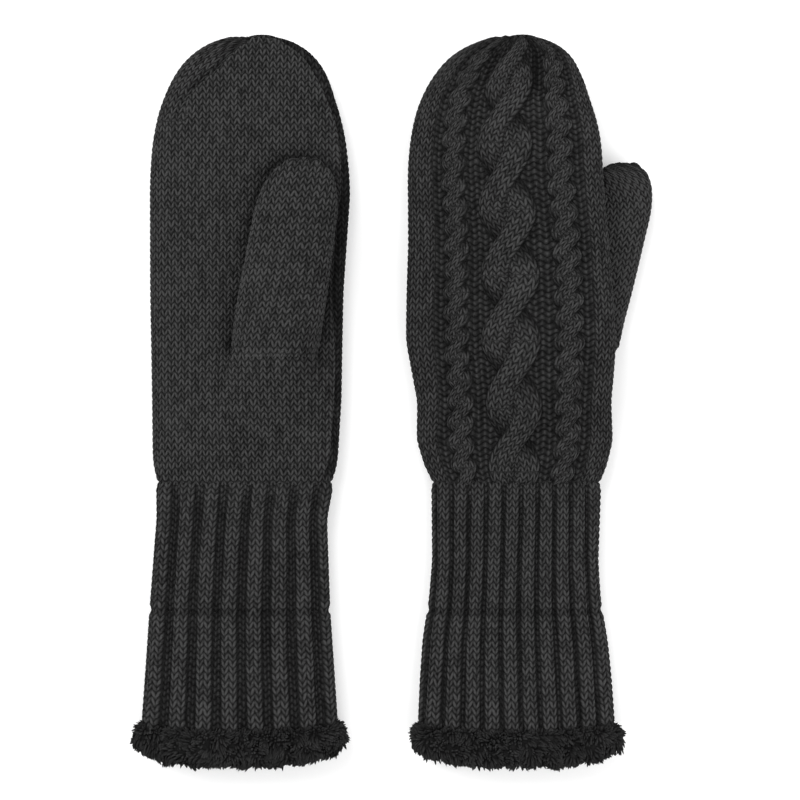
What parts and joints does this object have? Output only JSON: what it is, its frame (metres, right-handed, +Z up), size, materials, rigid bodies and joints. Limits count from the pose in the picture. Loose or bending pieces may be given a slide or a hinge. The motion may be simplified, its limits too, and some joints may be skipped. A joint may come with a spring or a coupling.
{
  "type": "knitted mittens",
  "caption": "Pair of long cable-knit mittens with ribbed cuffs, fleece linings and turned-out fleece edges, lying flat, one palm up and one back up.",
  "frame": {"origin": "on the floor under the centre of the pair's bounding box", "axes": "+Y from the fleece edges to the fingertips, +Z up through the flat mittens, +X from the right-hand mitten to the left-hand mitten, which is also the side of both thumbs"},
  "size_m": [0.2387, 0.338, 0.0445],
  "materials": {
    "charcoal_knit": "matt wool-blend knit in dark charcoal, with a faint lighter heather",
    "seam_yarn": "matt twisted yarn, darker than the knit",
    "fleece": "curly short-pile fleece, near black, with no shine"
  },
  "bodies": {
    "right_cuff_body": {"right_cuff": "charcoal_knit", "right_cuff_lining": "fleece", "right_lining_stitches": "seam_yarn", "right_fleece_trim": "fleece", "right_trim_stitches": "seam_yarn"},
    "right_hand_body": {"right_palm": "charcoal_knit", "right_back": "charcoal_knit", "right_side_seams": "seam_yarn", "right_tip_gather": "charcoal_knit", "right_hand_lining": "fleece", "right_thumb_seam": "seam_yarn"},
    "right_thumb_body": {"right_thumb": "charcoal_knit", "right_thumb_tip_gather": "charcoal_knit", "right_thumb_lining": "fleece"},
    "left_cuff_body": {"left_cuff": "charcoal_knit", "left_cuff_lining": "fleece", "left_lining_stitches": "seam_yarn", "left_fleece_trim": "fleece", "left_trim_stitches": "seam_yarn"},
    "left_hand_body": {"left_palm": "charcoal_knit", "left_back": "charcoal_knit", "left_side_seams": "seam_yarn", "left_tip_gather": "charcoal_knit", "left_hand_lining": "fleece", "left_thumb_seam": "seam_yarn"},
    "left_thumb_body": {"left_thumb": "charcoal_knit", "left_thumb_tip_gather": "charcoal_knit", "left_thumb_lining": "fleece"}
  },
  "joints": [
    {"name": "right_wrist", "type": "hinge", "parent": "right_cuff_body", "child": "right_hand_body", "pos_m": [-0.068, -0.0384, 0.0245], "axis": [1, 0, 0], "range_deg": [0, 60]},
    {"name": "right_thumb_lift", "type": "hinge", "parent": "right_hand_body", "child": "right_thumb_body", "pos_m": [-0.053, 0.0253, 0.0448], "axis": [1, 0, 0], "range_deg": [0, 60]},
    {"name": "pair_slide", "type": "slide", "parent": "right_cuff_body", "child": "left_cuff_body", "axis": [1, 0, 0], "range_m": [0, 0.12]},
    {"name": "left_wrist", "type": "hinge", "parent": "left_cuff_body", "child": "left_hand_body", "pos_m": [0.057, -0.0384, 0.0245], "axis": [1, 0, 0], "range_deg": [0, 60]},
    {"name": "left_thumb_swing", "type": "hinge", "parent": "left_hand_body", "child": "left_thumb_body", "pos_m": [0.1032, 0.0253, 0.009], "axis": [0, 0, -1], "range_deg": [0, 45]}
  ]
}
